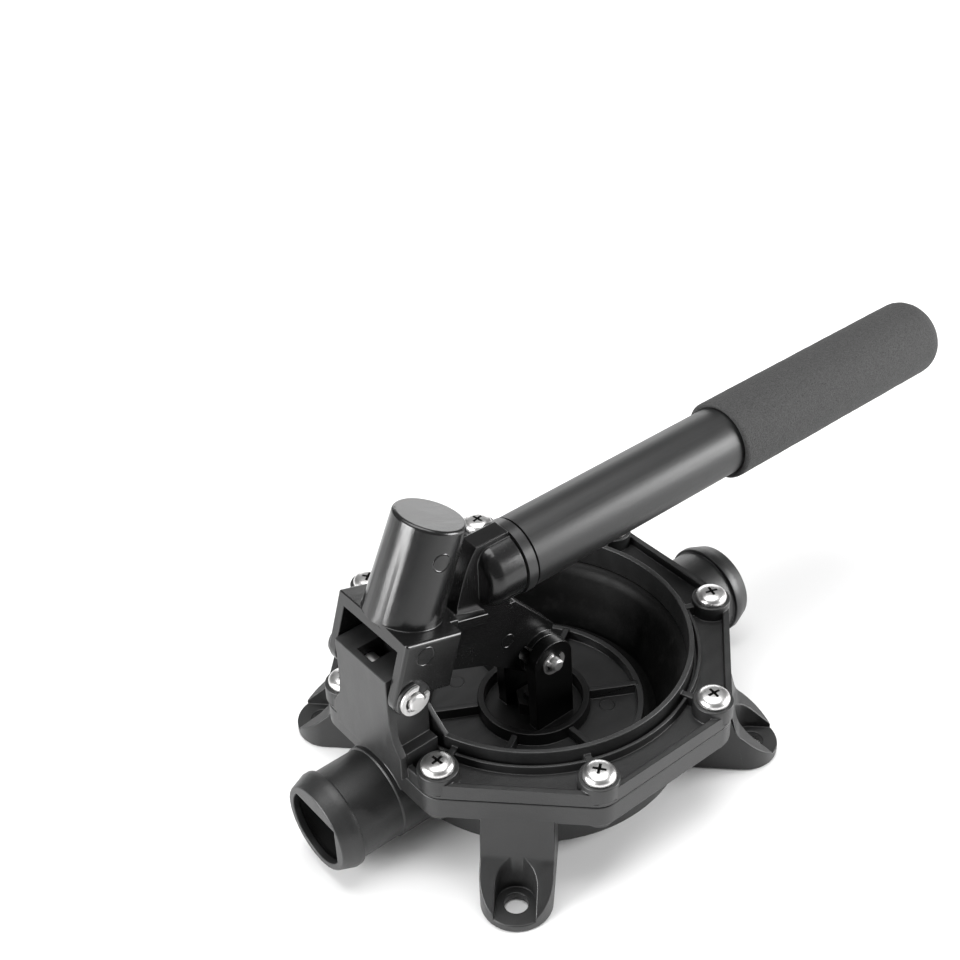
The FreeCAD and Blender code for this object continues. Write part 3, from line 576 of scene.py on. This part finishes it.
def foamGrip():
    low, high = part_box("foam_grip")
    centre = middle("foam_grip")
    radius = (high[2] - low[2]) / 2 - foam["lump"]
    bore = (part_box("handle_tube")[1][2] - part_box("handle_tube")[0][2]) / 2 + foam["slack"]
    start = low[0]
    end = high[0] - foam["short"]
    outline = [(bore, start + foam["overlap"]), (bore, start + 0.8 * mm), (bore + 0.6 * mm, start + 0.2 * mm),
               (radius - 0.8 * mm, start), (radius - 0.15 * mm, start + 0.5 * mm)]
    straight = end - foam["dome"] - start - foam["lip"]
    for step in range(foam["rings"] + 1):
        outline.append((radius, start + foam["lip"] + straight * step / foam["rings"]))
    for step in range(1, 9):
        angle = math.pi / 2 * step / 8
        outline.append((radius - foam["dome"] * (1 - math.cos(angle)),
                        end - foam["dome"] * (1 - math.sin(angle))))
    outline += [(radius - foam["dome"] - 4 * mm, end + 0.05 * mm), (0, end + 0.05 * mm)]
    mesh = bmesh.new()
    spun(mesh, outline, foam["around"], axis="X", centre=(0, 0, centre.z))
    for vert in mesh.verts:
        away = Vector((0, vert.co.y, vert.co.z - centre.z))
        if away.length > bore + 1 * mm and vert.co.x > start + 0.4 * mm and away.length > 3 * mm:
            lump = noise.noise(vert.co * foam["fine"]) * 0.6 + noise.noise(vert.co * foam["coarse"]) * 0.4
            vert.co += away.normalized() * foam["lump"] * lump
    piece = finished("foamGrip", mesh, gripFoam, 60)
    declare(piece, "handle", "foam", "foam_grip")


foamGrip()
print("foam grip made")


# Studio

studio = {"floor": 6.0, "world": 0.2, "under": 0.0004, "aim": (0, 0, 0.05)}
eye = {"turn": -37.83, "rise": 36.76, "roll": -2.24, "away": 0.61156, "lens": 58.45, "height": 0.030,
       "across": 0.0209, "up": -0.07868}


def camera():
    turn = math.radians(eye["turn"])
    rise = math.radians(eye["rise"])
    roll = math.radians(eye["roll"])
    right = Vector((math.cos(turn), math.sin(turn), 0))
    back = Vector((math.sin(turn) * math.cos(rise), -math.cos(turn) * math.cos(rise), math.sin(rise)))
    over = back.cross(right)
    right, over = (right * math.cos(roll) + over * math.sin(roll),
                   over * math.cos(roll) - right * math.sin(roll))
    place = Vector((0, 0, eye["height"])) - right * eye["across"] - over * eye["up"] + back * eye["away"]
    data = bpy.data.cameras.new("eye")
    data.sensor_width = 36
    data.lens = eye["lens"]
    data.clip_start = 0.01
    thing = bpy.data.objects.new("eye", data)
    thing.matrix_world = Matrix.Translation(place) @ Matrix((right, over, back)).transposed().to_4x4()
    bpy.context.scene.collection.objects.link(thing)
    bpy.context.scene.camera = thing


def softBox(name, place, aim, width, height, power):
    data = bpy.data.lights.new(name, "AREA")
    data.shape = "RECTANGLE"
    data.size = width
    data.size_y = height
    data.energy = power
    thing = bpy.data.objects.new(name, data)
    way = Vector(place) - Vector(aim)
    thing.matrix_world = Matrix.Translation(place) @ way.to_track_quat("Z", "Y").to_matrix().to_4x4()
    bpy.context.scene.collection.objects.link(thing)


def floor():
    mesh = bmesh.new()
    bmesh.ops.create_grid(mesh, x_segments=2, y_segments=2, size=studio["floor"] / 2)
    bmesh.ops.translate(mesh, verts=mesh.verts, vec=(0, 0, cadBounds[0][2] - studio["under"]))
    piece = finished("floor", mesh, paleFloor("paleFloor"))


def sky():
    world = bpy.data.worlds.new("studio")
    world.use_nodes = True
    world.node_tree.nodes["Background"].inputs["Color"].default_value = (1, 1, 1, 1)
    world.node_tree.nodes["Background"].inputs["Strength"].default_value = studio["world"]
    bpy.context.scene.world = world


panels = {
    "above": ((0.05, 0.1, 1.3), 1.1, 0.9, 17),
    "leftSide": ((-1.15, 0.15, 0.38), 0.7, 0.6, 27),
    "rightSide": ((0.95, -0.75, 0.42), 0.7, 0.6, 23),
    "behind": ((0.75, 0.95, 0.28), 1.0, 0.4, 3.5),
}
camera()
floor()
sky()
for name, (place, width, height, power) in panels.items():
    softBox(name, place, studio["aim"], width, height, power)
bpy.context.scene.view_settings.view_transform = "Standard"
print("studio ready")
